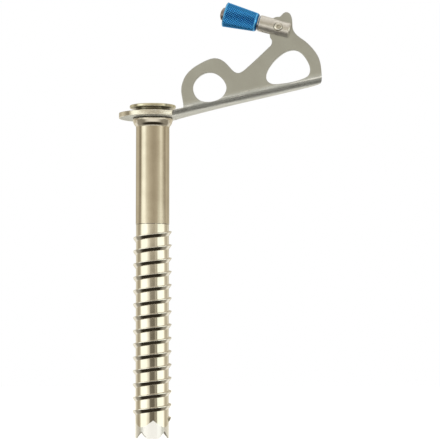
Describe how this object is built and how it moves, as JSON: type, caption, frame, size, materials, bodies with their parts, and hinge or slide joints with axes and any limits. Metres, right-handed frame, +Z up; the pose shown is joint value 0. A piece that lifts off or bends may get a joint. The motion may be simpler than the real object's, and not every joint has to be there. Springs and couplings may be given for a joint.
{
  "type": "ice screw",
  "caption": "Tubular ice screw with an outside thread and four cutting teeth, a bent steel hanger with two clip holes, and a folding crank knob.",
  "frame": {"origin": "on the tube's axis, in the plane where the hanger plate rests on the lower collar", "axes": "+Z up along the tube's axis, from the teeth to the head; +X along the hanger's arm, seen from above; the upright web stands on the -Y side"},
  "size_m": [0.1027, 0.035, 0.2161],
  "materials": {
    "steel_tube": "polished",
    "steel_collar": "polished",
    "steel_plate": "satin",
    "steel_ring": "polished",
    "steel_lever": "turned",
    "steel_rivet": "polished",
    "spring_steel": "drawn wire",
    "steel_washer": "satin",
    "hard_steel": "polished",
    "blue_anodised": "knurled, blue anodised",
    "bush_bronze": "plain"
  },
  "bodies": {
    "screw": {"tube": "steel_tube", "lower_collar": "steel_collar", "hanger": "steel_plate", "head_ring": "steel_ring"},
    "lever": {"lever_fork": "steel_lever", "pivot_rivet": "steel_rivet", "plunger_spring": "spring_steel", "end_rivet": "steel_rivet", "thrust_washer": "steel_washer", "end_washer": "steel_washer"},
    "plunger": {"friction_plunger": "hard_steel"},
    "knob": {"knob": "blue_anodised", "front_bush": "bush_bronze", "rear_bush": "bush_bronze"}
  },
  "joints": [
    {"name": "lever_fold", "type": "hinge", "parent": "screw", "child": "lever", "pos_m": [0.0643, -0.0118, 0.0429], "axis": [0, 1, 0], "range_deg": [-38, 72]},
    {"name": "knob_spin", "type": "hinge", "parent": "lever", "child": "knob", "pos_m": [0.04596, -0.0118, 0.04788], "axis": [-0.965, 0, 0.2622], "continuous": true},
    {"name": "plunger_press", "type": "slide", "parent": "lever", "child": "plunger", "axis": [-0.965, 0, 0.2622], "range_m": [0, 0.0005], "stiffness_N_per_m": 800, "springref_m": -0.001, "deforming": ["plunger_spring"]}
  ]
}
